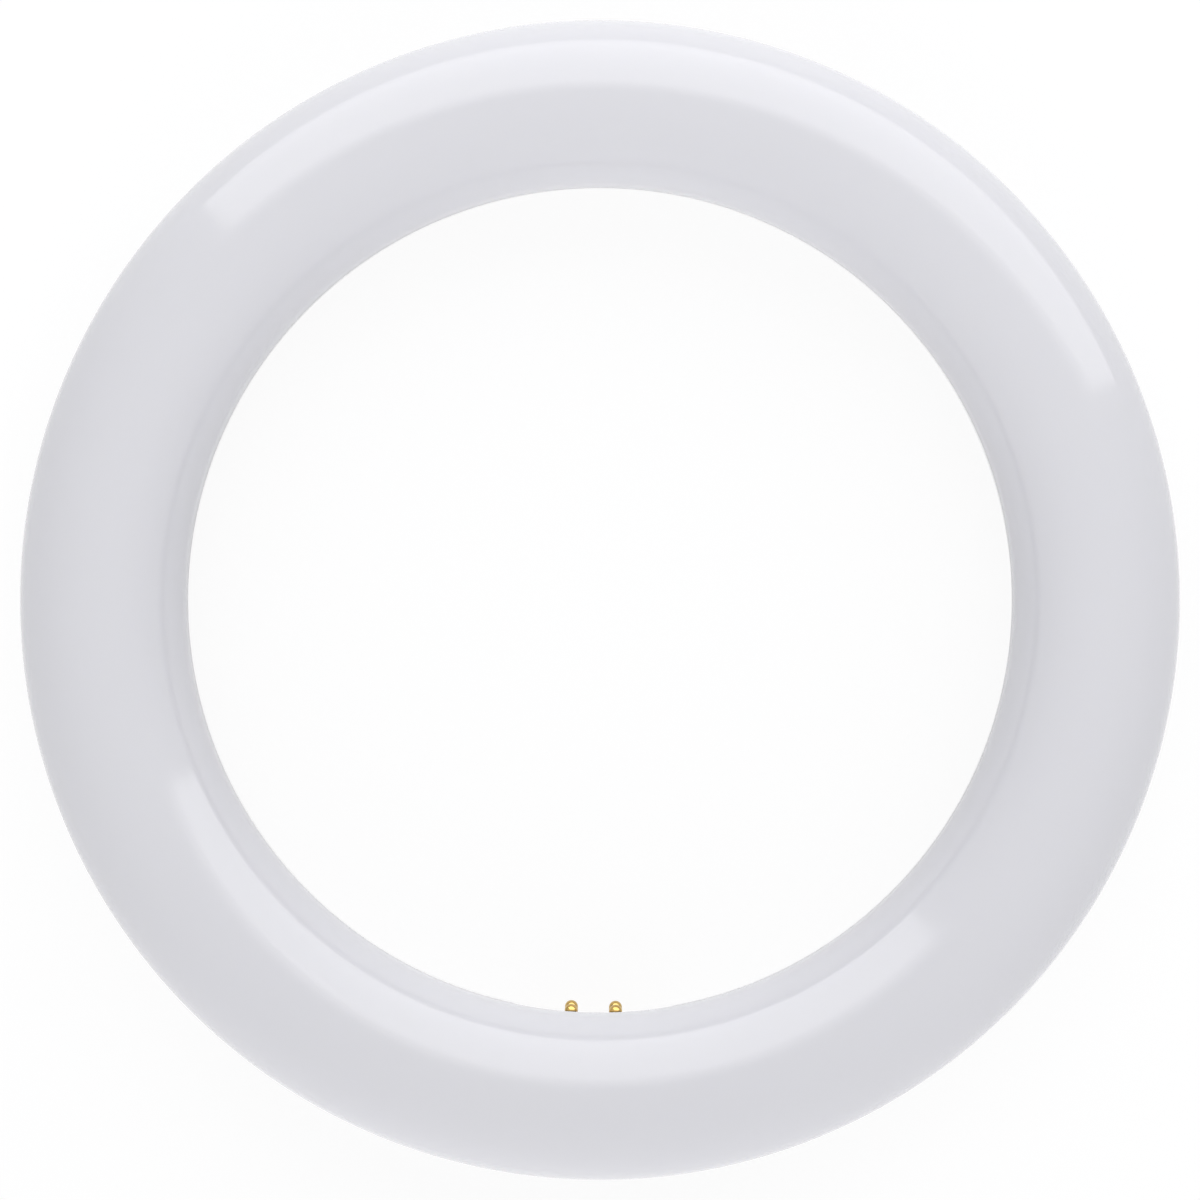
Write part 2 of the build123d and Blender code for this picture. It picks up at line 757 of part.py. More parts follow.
def moulded_package(angle, offset, size, leg_count, leg_pitch=0.0):
    """A moulded package on bent legs, with a number of them on each side."""
    length, width, height = size
    knee = width / 2 + package_leg_reach
    toe = knee + package_foot
    with BuildPart() as package:
        with BuildSketch(level_plane(angle, offset, driver_top_z + package_lift)):
            Rectangle(length, width)
        extrude(amount=height - package_lift)
        chamfer(package.faces().sort_by(Axis.Z)[-1].edges(), package_bevel)
        for number in range(leg_count):
            place = (number - (leg_count - 1) / 2) * leg_pitch
            with BuildSketch(cross_plane(angle, offset, driver_top_z).offset(place)):
                for side in (-1, 1):
                    with BuildLine():
                        Polyline(
                            (side * (width / 2 - package_leg_thickness), height / 2),
                            (side * knee, height / 2),
                            (side * knee, package_leg_thickness),
                            (side * toe, package_leg_thickness),
                            (side * toe, 0),
                            (side * (knee - package_leg_thickness), 0),
                            (side * (knee - package_leg_thickness), height / 2 - package_leg_thickness),
                            (side * (width / 2 - package_leg_thickness), height / 2 - package_leg_thickness),
                            close=True,
                        )
                    make_face()
            extrude(amount=package_leg_width / 2, both=True)
    return package.part


# Bridge rectifier, driver chip and output diode
bridge_rectifier = moulded_package(
    bridge_angle, bridge_offset, bridge_size, bridge_leg_count, bridge_leg_pitch
)
bridge_rectifier.label = "bridge_rectifier"
export_step(bridge_rectifier, "parts/bridge_rectifier.step")
driver_chip = moulded_package(chip_angle, chip_offset, chip_size, chip_leg_count, chip_leg_pitch)
driver_chip.label = "driver_chip"
export_step(driver_chip, "parts/driver_chip.step")
output_diode = moulded_package(diode_angle, diode_offset, diode_size, diode_leg_count)
output_diode.label = "output_diode"
export_step(output_diode, "parts/output_diode.step")

# Leads from the pins' tails to the pads of the driver board
for number, (pin_x, pin_z) in enumerate(pin_places, start=1):
    near_side = pin_x > 0
    turn_length = near_lead_turn if near_side else far_lead_turn
    turn_bend = near_lead_bend if near_side else far_lead_bend
    pad = station(pad_angle, (number - (len(pin_places) + 1) / 2) * pad_pitch, driver_top_z)
    with BuildPart() as pin_lead:
        with BuildLine() as route:
            FilletPolyline(
                (pin_x, tail_end_y, pin_z),
                (pin_x, tail_end_y - turn_length, pin_z),
                (pad.X, pad.Y, driver_top_z + lead_crest),
                (pad.X, pad.Y, driver_top_z),
                radius=(turn_bend, pad_lead_bend),
            )
        with BuildSketch(Plane(origin=route.line @ 0, z_dir=route.line % 0)):
            Circle(lead_radius)
        sweep()
        with BuildSketch(Plane(origin=(pin_x, tail_end_y, pin_z), z_dir=(0, 1, 0))):
            Circle(lead_core_diameter / 2)
        extrude(amount=lead_core_length)
    pin_lead.part.label = f"pin_lead_{number}"
    export_step(pin_lead.part, f"parts/pin_lead_{number}.step")

# Leads from the driver board up through the LED board, soldered on its face
for name, offset in zip(("led_lead_positive", "led_lead_negative"), output_pads):
    with BuildPart() as led_lead:
        with BuildSketch(level_plane(output_pad_angle, offset, driver_top_z)):
            Circle(lead_radius)
        extrude(amount=board_top_z + lead_rise - driver_top_z)
        with BuildSketch(side_plane(output_pad_angle, offset, board_top_z)):
            with BuildLine():
                Polyline(
                    (0, 0),
                    (solder_diameter / 2, 0),
                    (lead_radius, solder_height),
                    (0, solder_height),
                    close=True,
                )
            make_face()
        revolve(axis=Axis(station(output_pad_angle, offset, board_top_z), (0, 0, 1)))
    led_lead.part.label = name
    export_step(led_lead.part, f"parts/{name}.step")
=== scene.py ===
# %% [markdown]
# # A circular LED tube, dressed for the camera
#
# The lamp is a ring of opal plastic snapped onto a white moulded back. Four brass pins stand in a
# recess at the back and point to the middle of the ring. The construction is fixed: it comes from
# CAD, in metres, and nothing here moves or resizes it. The lesson gives every piece the finish of
# the real one, and remakes the few pieces whose curves or repeats want a finer mesh.

import math

import bmesh
import bpy
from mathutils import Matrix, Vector


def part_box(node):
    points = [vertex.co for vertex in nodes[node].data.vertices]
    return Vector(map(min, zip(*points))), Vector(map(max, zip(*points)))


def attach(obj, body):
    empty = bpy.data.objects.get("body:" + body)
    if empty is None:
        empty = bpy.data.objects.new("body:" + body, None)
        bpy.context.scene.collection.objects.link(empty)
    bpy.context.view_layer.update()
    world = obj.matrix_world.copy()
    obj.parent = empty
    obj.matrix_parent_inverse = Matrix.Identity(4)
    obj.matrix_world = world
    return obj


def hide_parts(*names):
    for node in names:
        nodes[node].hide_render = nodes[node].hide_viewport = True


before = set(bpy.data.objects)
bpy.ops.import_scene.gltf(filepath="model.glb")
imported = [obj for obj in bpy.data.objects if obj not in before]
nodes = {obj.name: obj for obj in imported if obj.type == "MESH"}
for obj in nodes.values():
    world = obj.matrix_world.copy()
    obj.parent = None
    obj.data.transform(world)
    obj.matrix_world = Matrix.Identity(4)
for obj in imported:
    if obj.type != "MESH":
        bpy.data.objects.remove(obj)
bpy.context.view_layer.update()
scene = bpy.context.scene

# %% [markdown]
# ## Sizes
#
# A ring like this is a torus: a round tube that follows a circle. The CAD boxes give both radii,
# because the ring lies on its back and parts into two shells at half the tube's height. Every size
# below is in metres, and the small ones are written as so many millimetres.

# %% Read the ring's own sizes from the frame
MM = 0.001
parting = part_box("front_diffuser")[0].z
tube_radius = parting
ring_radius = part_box("front_diffuser")[1].x - tube_radius
print(f"ring radius {ring_radius / MM:.2f} mm, tube radius {tube_radius / MM:.2f} mm")

# %% [markdown]
# ## Helpers for Geometry Nodes
#
# What repeats, or follows a path, is made by a small node tree. A tree has named inputs, and ends
# in Realize Instances and Set Material, so that the result is one plain mesh with its finish on.
# The helpers build such a tree, run it on a seed mesh, and keep only the mesh that comes out.


# %% Start and end a tree, and run it on a seed
def new_tree(name, inputs):
    """An empty tree with named inputs: each is a name and a kind of socket."""
    tree = bpy.data.node_groups.new(name, "GeometryNodeTree")
    for title, kind in inputs.items():
        tree.interface.new_socket(title, in_out="INPUT", socket_type=f"NodeSocket{kind}")
    tree.interface.new_socket("Piece", in_out="OUTPUT", socket_type="NodeSocketGeometry")
    return tree, tree.nodes.new("NodeGroupInput").outputs


def add_node(tree, kind, **links):
    """A node of a kind, with its inputs linked to sockets or set to values. Names use _ for a space."""
    node = tree.nodes.new(kind)
    for title, value in links.items():
        socket = node.inputs[title.replace("_", " ")]
        if isinstance(value, bpy.types.NodeSocket):
            tree.links.new(value, socket)
        else:
            socket.default_value = value
    return node


def end_tree(tree, geometry, material):
    """Realizes what the tree made and gives it its material."""
    real = add_node(tree, "GeometryNodeRealizeInstances", Geometry=geometry)
    painted = add_node(tree, "GeometryNodeSetMaterial", Geometry=real.outputs[0], Material=material)
    tree.links.new(painted.outputs[0], tree.nodes.new("NodeGroupOutput").inputs["Piece"])


def place(piece):
    """Puts a new object in the scene."""
    scene.collection.objects.link(piece)
    return piece


def grow(name, seed, tree, **values):
    """Runs a tree on a seed mesh and keeps the plain mesh that comes out, on an object at the origin."""
    piece = place(bpy.data.objects.new(name, seed))
    modifier = piece.modifiers.new(tree.name, "NODES")
    modifier.node_group = tree
    sockets = {item.name: item.identifier for item in tree.interface.items_tree if item.in_out == "INPUT"}
    for title, value in values.items():
        modifier[sockets[title.replace("_", " ")]] = value
    depsgraph = bpy.context.evaluated_depsgraph_get()
    grown = bpy.data.meshes.new_from_object(piece.evaluated_get(depsgraph))
    piece.modifiers.remove(modifier)
    piece.data = grown
    return piece


# %% [markdown]
# ## Clean faces
#
# A mesh that catches a soft highlight has to be closed, face outwards, and be smooth wherever the
# real surface is smooth. Doubles are merged first, because a gap or a doubled corner breaks the
# smoothing. Edges sharper than an angle stay crisp.

# %% Merge, turn outwards and smooth
merge_distance = 0.002 * MM
crisp_angle = math.radians(32)


def smooth_by_angle(mesh):
    """Smooth shading that stops at sharp edges."""
    mesh.polygons.foreach_set("use_smooth", [True] * len(mesh.polygons))
    mesh.set_sharp_from_angle(angle=crisp_angle)


def clean(piece):
    """Merges doubles, turns the faces outwards and smooths the piece."""
    mesh = bmesh.new()
    mesh.from_mesh(piece.data)
    bmesh.ops.remove_doubles(mesh, verts=mesh.verts, dist=merge_distance)
    bmesh.ops.recalc_face_normals(mesh, faces=mesh.faces)
    open_edges = sum(1 for edge in mesh.edges if not edge.is_manifold)
    mesh.to_mesh(piece.data)
    mesh.free()
    smooth_by_angle(piece.data)
    print(f"{piece.name}: {len(piece.data.polygons)} faces, {open_edges} open edges")
    return piece


def outline_mesh(name, points, closed):
    """A mesh of edges only: the outline of a section, drawn in X and Y."""
    links = [(number, number + 1) for number in range(len(points) - 1)]
    if closed:
        links.append((len(points) - 1, 0))
    mesh = bpy.data.meshes.new(name)
    mesh.from_pydata([(x, y, 0) for x, y in points], links, [])
    return mesh


def arc(centre, radius, first, last, steps):
    """Points of an arc from one angle to another, in degrees."""
    turns = [math.radians(first + (last - first) * step / steps) for step in range(steps + 1)]
    return [(centre[0] + radius * math.cos(turn), centre[1] + radius * math.sin(turn)) for turn in turns]


# %% [markdown]
# ## Shared effects
#
# A finish is more than a colour. What changes over a surface could be wired into every material
# anew, but a shader node group is built once and then only given other values. Moulded skin is what
# an injection mould leaves: a very slight waviness, a fine grain and a cloudy change of tone. Drawn
# metal has lines along or round the piece and a patchy tarnish. Speckle is the grain of what is
# pressed from powder. A group gives out colours, values and heights only; the shader itself stays
# in each material.


# %% Helper for shader groups
def new_group(name, inputs, outputs):
    """An empty shader group with named inputs, each a kind and a default value, and named outputs."""
    group = bpy.data.node_groups.new(name, "ShaderNodeTree")
    for title, (kind, value) in inputs.items():
        socket = group.interface.new_socket(title, in_out="INPUT", socket_type=f"NodeSocket{kind}")
        socket.default_value = value
    for title, kind in outputs.items():
        group.interface.new_socket(title, in_out="OUTPUT", socket_type=f"NodeSocket{kind}")
    return group, group.nodes.new("NodeGroupInput").outputs, group.nodes.new("NodeGroupOutput").inputs


def mix_colour(tree, factor, first, second):
    """A colour between two others. A factor or colour may be a value or a socket."""
    node = tree.nodes.new("ShaderNodeMix")
    node.data_type = "RGBA"
    enabled = [socket for socket in node.inputs if socket.enabled]
    for socket, value in zip(enabled, (factor, first, second)):
        if isinstance(value, bpy.types.NodeSocket):
            tree.links.new(value, socket)
        else:
            socket.default_value = value
    return node.outputs[2]


def sums(tree, operation, first, second=None, third=None):
    """The result of a Math node on values or sockets."""
    node = tree.nodes.new("ShaderNodeMath")
    node.operation = operation
    for socket, value in zip(node.inputs, (first, second, third)):
        if isinstance(value, bpy.types.NodeSocket):
            tree.links.new(value, socket)
        elif value is not None:
            socket.default_value = value
    return node.outputs[0]


def spread(tree, value, low, high):
    """A value from 0 to 1 spread between two others."""
    return sums(tree, "MULTIPLY_ADD", value, sums(tree, "SUBTRACT", high, low), low)


def noise(tree, vector, scale, detail=2.0, roughness=0.5):
    """The value of a Noise Texture on a position, at a scale per metre."""
    node = add_node(tree, "ShaderNodeTexNoise", Scale=scale, Detail=detail, Roughness=roughness)
    tree.links.new(vector, node.inputs["Vector"])
    return node.outputs["Fac"]


def position(tree):
    """The X, Y and Z of a point of the piece, in metres."""
    spot = tree.nodes.new("ShaderNodeTexCoord").outputs["Object"]
    return add_node(tree, "ShaderNodeSeparateXYZ", Vector=spot).outputs


def facing_up(tree):
    """How squarely the surface faces the light side: 1 straight up, 0 upright and -1 straight down."""
    normal = tree.nodes.new("ShaderNodeNewGeometry").outputs["Normal"]
    return add_node(tree, "ShaderNodeSeparateXYZ", Vector=normal).outputs["Z"]


# %% Moulded skin
sheen_per_cloud = 3.7
waves_per_cloud = 1.3
moulded_skin, given, result = new_group(
    "moulded skin",
    {
        "Colour": ("Color", (0.8, 0.8, 0.8, 1)),
        "Cloud Colour": ("Color", (0.75, 0.75, 0.75, 1)),
        "Cloud Scale": ("Float", 20.0),
        "Grain Scale": ("Float", 2500.0),
        "Wave Height": ("Float", 0.05 * MM),
        "Grain Height": ("Float", 0.005 * MM),
        "Roughness": ("Float", 0.3),
        "Roughness Change": ("Float", 0.05),
    },
    {"Colour": "Color", "Roughness": "Float", "Height": "Float"},
)
spot = moulded_skin.nodes.new("ShaderNodeTexCoord").outputs["Object"]
cloud = noise(moulded_skin, spot, given["Cloud Scale"], detail=3.0)
grain = noise(moulded_skin, spot, given["Grain Scale"], detail=1.0)
sheen_scale = sums(moulded_skin, "MULTIPLY", given["Cloud Scale"], sheen_per_cloud)
sheen = noise(moulded_skin, spot, sheen_scale, detail=4.0, roughness=0.6)
wave_scale = sums(moulded_skin, "MULTIPLY", given["Cloud Scale"], waves_per_cloud)
wave = noise(moulded_skin, spot, wave_scale, detail=0.0)
link = moulded_skin.links.new
link(mix_colour(moulded_skin, cloud, given["Colour"], given["Cloud Colour"]), result["Colour"])
top_roughness = sums(moulded_skin, "ADD", given["Roughness"], given["Roughness Change"])
link(spread(moulded_skin, sheen, given["Roughness"], top_roughness), result["Roughness"])
wave_height = sums(moulded_skin, "MULTIPLY", wave, given["Wave Height"])
link(sums(moulded_skin, "MULTIPLY_ADD", grain, given["Grain Height"], wave_height), result["Height"])

# %% Drawn metal
tarnish_contrast = 3.0
drawn_metal, given, result = new_group(
    "drawn metal",
    {
        "Colour": ("Color", (0.7, 0.7, 0.7, 1)),
        "Tarnish": ("Color", (0.4, 0.35, 0.3, 1)),
        "Tarnish Scale": ("Float", 400.0),
        "Line Stretch": ("Vector", (200.0, 6000.0, 200.0)),
        "Line Height": ("Float", 0.002 * MM),
        "Roughness": ("Float", 0.2),
        "Roughness Change": ("Float", 0.15),
    },
    {"Colour": "Color", "Roughness": "Float", "Height": "Float"},
)
spot = drawn_metal.nodes.new("ShaderNodeTexCoord").outputs["Object"]
stretched = drawn_metal.nodes.new("ShaderNodeVectorMath")
stretched.operation = "MULTIPLY"
link = drawn_metal.links.new
link(spot, stretched.inputs[0])
link(given["Line Stretch"], stretched.inputs[1])
lines = noise(drawn_metal, stretched.outputs[0], 1.0, detail=2.0)
patches = noise(drawn_metal, spot, given["Tarnish Scale"], detail=5.0, roughness=0.65)
worn = sums(drawn_metal, "POWER", patches, tarnish_contrast)
link(mix_colour(drawn_metal, worn, given["Colour"], given["Tarnish"]), result["Colour"])
top_roughness = sums(drawn_metal, "ADD", given["Roughness"], given["Roughness Change"])
link(spread(drawn_metal, patches, given["Roughness"], top_roughness), result["Roughness"])
link(sums(drawn_metal, "MULTIPLY", lines, given["Line Height"]), result["Height"])

# %% Speckle
grain_contrast = 2.5
speckle, given, result = new_group(
    "speckle",
    {
        "Colour": ("Color", (0.1, 0.1, 0.1, 1)),
        "Grain Colour": ("Color", (0.2, 0.2, 0.2, 1)),
        "Grain Scale": ("Float", 3000.0),
        "Grain Height": ("Float", 0.01 * MM),
    },
    {"Colour": "Color", "Height": "Float"},
)
spot = speckle.nodes.new("ShaderNodeTexCoord").outputs["Object"]
grains = noise(speckle, spot, given["Grain Scale"], detail=2.0)
sharp_grains = sums(speckle, "POWER", grains, grain_contrast)
link = speckle.links.new
link(mix_colour(speckle, sharp_grains, given["Colour"], given["Grain Colour"]), result["Colour"])
link(sums(speckle, "MULTIPLY", grains, given["Grain Height"]), result["Height"])
print("shader groups:", ", ".join(group.name for group in (moulded_skin, drawn_metal, speckle)))


# %% [markdown]
# ## A material around a group
#
# Each finish is a Principled BSDF whose colour, roughness and bump come from a group. What is the
# same all over the surface, such as the index of refraction or a coat, is set on the shader.


# %% Helper for materials
def new_material(name, group, settings, **constants):
    """A material with the group's values on its own settings, and constants set on the shader."""
    material = bpy.data.materials.new(name)
    material.use_nodes = True
    tree = material.node_tree
    shader = tree.nodes["Principled BSDF"]
    effect = tree.nodes.new("ShaderNodeGroup")
    effect.node_tree = group
    for title, value in settings.items():
        effect.inputs[title].default_value = value
    tree.links.new(effect.outputs["Colour"], shader.inputs["Base Color"])
    if "Roughness" in effect.outputs:
        tree.links.new(effect.outputs["Roughness"], shader.inputs["Roughness"])
    bump = tree.nodes.new("ShaderNodeBump")
    bump.inputs["Distance"].default_value = 1.0
    tree.links.new(effect.outputs["Height"], bump.inputs["Height"])
    tree.links.new(bump.outputs["Normal"], shader.inputs["Normal"])
    for title, value in constants.items():
        shader.inputs[title.replace("_", " ")].default_value = value
    return material


def second_colour(material, mask, colour):
    """Paints another colour where a mask socket is 1, over the colour that the group gives."""
    tree = material.node_tree
    socket = tree.nodes["Principled BSDF"].inputs["Base Color"]
    first = socket.links[0].from_socket
    tree.links.new(mix_colour(tree, mask, first, colour), socket)


def finish_node(material, *names):
    """Gives CAD nodes a material in place of the plain one that they came with."""
    for name in names:
        nodes[name].data.materials.clear()
        nodes[name].data.materials.append(material)


# %% [markdown]
# ## Opal diffuser
#
# The light side is one moulding of opal polycarbonate: milky white with a touch of blue, glossy,
# and a little translucent, so that its shaded side never turns hard. Its gloss shows a broad window
# of light with a clean edge that wanders very slightly, because no moulding is a perfect torus.

# %% Opal finish
opal = new_material(
    "opal diffuser",
    moulded_skin,
    {
        "Colour": (0.80, 0.80, 0.842, 1),
        "Cloud Colour": (0.775, 0.775, 0.822, 1),
        "Cloud Scale": 14.0,
        "Grain Scale": 900.0,
        "Wave Height": 0.10 * MM,
        "Grain Height": 0.0006 * MM,
        "Roughness": 0.07,
        "Roughness Change": 0.04,
    },
    IOR=1.55,
    Subsurface_Weight=0.15,
    Subsurface_Radius=(1.0, 1.0, 1.1),
    Subsurface_Scale=1.2 * MM,
)

# %% [markdown]
# ## The diffuser as a swept section
#
# The diffuser is the same section all the way round, which is just what a sweep makes. The section
# is drawn once, to the right of the tube's centre and mirrored to the left: the outer arc, a small
# chamfer where the shells meet, a rebate with a groove that the housing's lip snaps into, and the
# inner arc. A Geometry Nodes tree carries it round the ring, and the same tree later turns round
# pieces such as pins, by sweeping round a circle that is almost a point.

# %% Section of the diffuser
wall = 1.4 * MM
chamfer = 0.25 * MM
rebate_reach = tube_radius - wall
rebate_height = 2.7 * MM
groove_radius = 0.35 * MM
groove_height = 1.45 * MM
outer_steps = 84
inner_steps = 40
groove_steps = 8


def degrees_up(height, radius):
    """Angle above the parting plane of the point of a circle at a height."""
    return math.degrees(math.asin(height / radius))


rebate_side = [
    (rebate_reach, 0),
    *arc((rebate_reach, groove_height), groove_radius, -90, 90, groove_steps),
    (rebate_reach, rebate_height),
]
inner_first = degrees_up(rebate_height, rebate_reach)
outer_first = degrees_up(chamfer, tube_radius)
diffuser_section = [
    *rebate_side,
    *arc((0, 0), rebate_reach, inner_first, 180 - inner_first, inner_steps),
    *[(-x, y) for x, y in reversed(rebate_side)],
    (chamfer - tube_radius, 0),
    *arc((0, 0), tube_radius, 180 - outer_first, outer_first, outer_steps),
    (tube_radius - chamfer, 0),
]
print(f"{len(diffuser_section)} points in the diffuser's section")

# %% Tree that sweeps a section round a circle
swept_ring, given = new_tree(
    "swept ring",
    {
        "Section": "Geometry",
        "Ring Radius": "Float",
        "Ring Steps": "Int",
        "Height": "Vector",
        "Material": "Material",
    },
)
upright = add_node(
    swept_ring, "GeometryNodeTransform", Geometry=given["Section"], Rotation=(math.pi, 0, 0)
)
section = add_node(swept_ring, "GeometryNodeMeshToCurve", Mesh=upright.outputs[0])
circle = add_node(
    swept_ring,
    "GeometryNodeCurvePrimitiveCircle",
    Radius=given["Ring Radius"],
    Resolution=given["Ring Steps"],
)
facing = add_node(swept_ring, "GeometryNodeSetCurveNormal", Curve=circle.outputs[0])
facing.mode = "Z_UP"
sweep = add_node(
    swept_ring, "GeometryNodeCurveToMesh", Curve=facing.outputs[0], Profile_Curve=section.outputs[0]
)
lifted = add_node(
    swept_ring, "GeometryNodeTransform", Geometry=sweep.outputs[0], Translation=given["Height"]
)
end_tree(swept_ring, lifted.outputs[0], given["Material"])

# %% Sweep the diffuser
ring_steps = 384
front_diffuser = grow(
    "front_diffuser_shell",
    outline_mesh("diffuser section", diffuser_section, closed=True),
    swept_ring,
    Ring_Radius=ring_radius,
    Ring_Steps=ring_steps,
    Height=(0, 0, parting),
    Material=opal,
)
clean(front_diffuser)
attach(front_diffuser, "root")
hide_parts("front_diffuser")

# %% [markdown]
# ## Back housing
#
# The back is one white moulding with a satin skin, so it looks softer than the diffuser beside it.
# It has too many features for a plain sweep: a recess with a saddle, a window, ribs and bosses. So
# this piece starts from its CAD mesh. The triangles are merged, those on the round outside are
# divided, and their points are pulled onto the true torus. The shading normals there are worked
# out from the torus too, so that a highlight runs round without any facet.

# %% Satin finish of the housing
satin = new_material(
    "satin housing",
    moulded_skin,
    {
        "Colour": (0.79, 0.79, 0.80, 1),
        "Cloud Colour": (0.765, 0.765, 0.775, 1),
        "Cloud Scale": 18.0,
        "Grain Scale": 3200.0,
        "Wave Height": 0.06 * MM,
        "Grain Height": 0.010 * MM,
        "Roughness": 0.30,
        "Roughness Change": 0.10,
    },
    IOR=1.5,
)


# %% Copy a CAD mesh and find the tube's true surface
def merged_copy(name, node):
    """A copy of a CAD node's mesh with its loose triangles merged."""
    piece = place(bpy.data.objects.new(name, nodes[node].data.copy()))
    imported = piece.data.attributes.get("custom_normal")
    if imported:
        piece.data.attributes.remove(imported)
    return clean(piece)


def on_tube(point):
    """The nearest point of the tube's outer surface, and the direction out of the surface there."""
    centre = Vector((point.x, point.y, 0)).normalized() * ring_radius
    centre.z = parting
    out = (point - centre).normalized()
    return centre + out * tube_radius, out


surface_reach = 0.01 * MM
surface_lean = 0.97


def lies_on_tube(face):
    """Whether a face is part of the tube's outer surface, and doesn't only touch it at its corners."""
    near = all((on_tube(vertex.co)[0] - vertex.co).length < surface_reach for vertex in face.verts)
    return near and face.normal.dot(on_tube(face.calc_center_median())[1]) > surface_lean


# %% Refine the housing
back_housing = merged_copy("back_housing_shell", "back_housing")
mesh = bmesh.new()
mesh.from_mesh(back_housing.data)
tube_faces = [face for face in mesh.faces if lies_on_tube(face)]
tube_edges = {edge for face in tube_faces for edge in face.edges}
divided = bmesh.ops.subdivide_edges(mesh, edges=list(tube_edges), cuts=1)
for element in divided["geom_inner"]:
    if isinstance(element, bmesh.types.BMVert):
        element.co = on_tube(element.co)[0]
mesh.normal_update()
on_surface = [lies_on_tube(face) for face in mesh.faces]
mesh.to_mesh(back_housing.data)
mesh.free()
smooth_by_angle(back_housing.data)
normals = [Vector((0, 0, 0))] * len(back_housing.data.loops)
for face, smooth in zip(back_housing.data.polygons, on_surface):
    if smooth:
        for corner in face.loop_indices:
            vertex = back_housing.data.vertices[back_housing.data.loops[corner].vertex_index]
            normals[corner] = on_tube(vertex.co)[1]
back_housing.data.normals_split_custom_set(normals)
back_housing.data.materials.clear()
back_housing.data.materials.append(satin)
print(f"{sum(on_surface)} of {len(on_surface)} faces lie on the tube's outside")
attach(back_housing, "root")
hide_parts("back_housing")

# %% [markdown]
# ## Pin base
#
# The insert that holds the pins is moulded from a stiffer, glass-filled plastic: a warmer white
# with a dull skin. Its edges are a little round, as every moulded edge is. The flats of the merged
# CAD mesh are joined into whole faces first, so that the bevel runs along clean edges.

# %% Base finish and rounded edges
filled_plastic = new_material(
    "filled plastic",
    moulded_skin,
    {
        "Colour": (0.77, 0.76, 0.73, 1),
        "Cloud Colour": (0.72, 0.71, 0.68, 1),
        "Cloud Scale": 160.0,
        "Grain Scale": 5200.0,
        "Wave Height": 0.01 * MM,
        "Grain Height": 0.012 * MM,
        "Roughness": 0.42,
        "Roughness Change": 0.12,
    },
    IOR=1.5,
)
flat_angle = math.radians(1)
edge_round = 0.12 * MM
edge_segments = 2
edge_angle = math.radians(40)
base_insert = merged_copy("pin_base_insert", "pin_base")
mesh = bmesh.new()
mesh.from_mesh(base_insert.data)
bmesh.ops.dissolve_limit(mesh, angle_limit=flat_angle, verts=mesh.verts, edges=mesh.edges)
mesh.to_mesh(base_insert.data)
mesh.free()
bevel = base_insert.modifiers.new("rounded edges", "BEVEL")
bevel.width = edge_round
bevel.segments = edge_segments
bevel.limit_method = "ANGLE"
bevel.angle_limit = edge_angle
bevel.harden_normals = True
base_insert.data.materials.clear()
base_insert.data.materials.append(filled_plastic)
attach(base_insert, "root")
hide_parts("pin_base")

# %% [markdown]
# ## Contact pins
#
# The pins are turned from brass rod: a ball tip, a straight shank, a collar that is trapped in the
# base and a bored tail for the lead. One profile is drawn as radius against length and turned by
# the sweeping tree. A second tree sets four copies on the corners of a rectangle, which is how the
# lampholder's sockets are laid out, and points them at the middle of the ring.

# %% Brass finish
brass = new_material(
    "turned brass",
    drawn_metal,
    {
        "Colour": (0.62, 0.42, 0.14, 1),
        "Tarnish": (0.18, 0.11, 0.04, 1),
        "Tarnish Scale": 700.0,
        "Line Stretch": (500.0, 9000.0, 500.0),
        "Line Height": 0.0015 * MM,
        "Roughness": 0.07,
        "Roughness Change": 0.09,
    },
    Metallic=1.0,
)

# %% Profile of a pin
pin_low, pin_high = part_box("contact_pin_1")
pin_radius = 1.175 * MM
pin_length = 7.1 * MM
pad_height = 0.3 * MM
shank_radius = 1.45 * MM
collar_radius = (pin_high.x - pin_low.x) / 2
collar_front = -4.4 * MM
collar_back = -5.2 * MM
tail_radius = 0.9 * MM
tail_end = pin_length - (pin_high.y - pin_low.y)
bore_radius = 0.45 * MM
bore_depth = 2.4 * MM
tail_chamfer = 0.12 * MM
tip_steps = 14
pin_profile = [
    *reversed(arc((0, pin_length - pin_radius), pin_radius, 0, 90, tip_steps)),
    (pin_radius, pad_height),
    (shank_radius, pad_height),
    (shank_radius, collar_front),
    (collar_radius - tail_chamfer, collar_front),
    (collar_radius, collar_front - tail_chamfer),
    (collar_radius, collar_back + tail_chamfer),
    (collar_radius - tail_chamfer, collar_back),
    (tail_radius, collar_back),
    (tail_radius, tail_end + tail_chamfer),
    (tail_radius - tail_chamfer, tail_end),
    (bore_radius, tail_end),
    (bore_radius, tail_end + bore_depth),
    (0, tail_end + bore_depth),
]
print(f"pin {pin_length / MM:.1f} mm long in front of the base, {-tail_end / MM:.1f} mm behind its face")

# %% Tree that turns a profile and sets copies of it on a rectangle
four_pins, given = new_tree(
    "turned pins on a rectangle",
    {
        "Profile": "Geometry",
        "Axis Radius": "Float",
        "Turn Steps": "Int",
        "Across": "Float",
        "Along": "Float",
        "Middle": "Vector",
        "Material": "Material",
    },
)
lathe = four_pins.nodes.new("GeometryNodeGroup")
lathe.node_tree = swept_ring
for socket, value in zip(lathe.inputs, ("Profile", "Axis Radius", "Turn Steps")):
    four_pins.links.new(given[value], socket)
closed = add_node(
    four_pins, "GeometryNodeMergeByDistance", Geometry=lathe.outputs[0], Distance=merge_distance
)
corners = add_node(
    four_pins,
    "GeometryNodeMeshGrid",
    Size_X=given["Across"],
    Size_Y=given["Along"],
    Vertices_X=2,
    Vertices_Y=2,
)
spread_out = add_node(
    four_pins, "GeometryNodeInstanceOnPoints", Points=corners.outputs[0], Instance=closed.outputs[0]
)
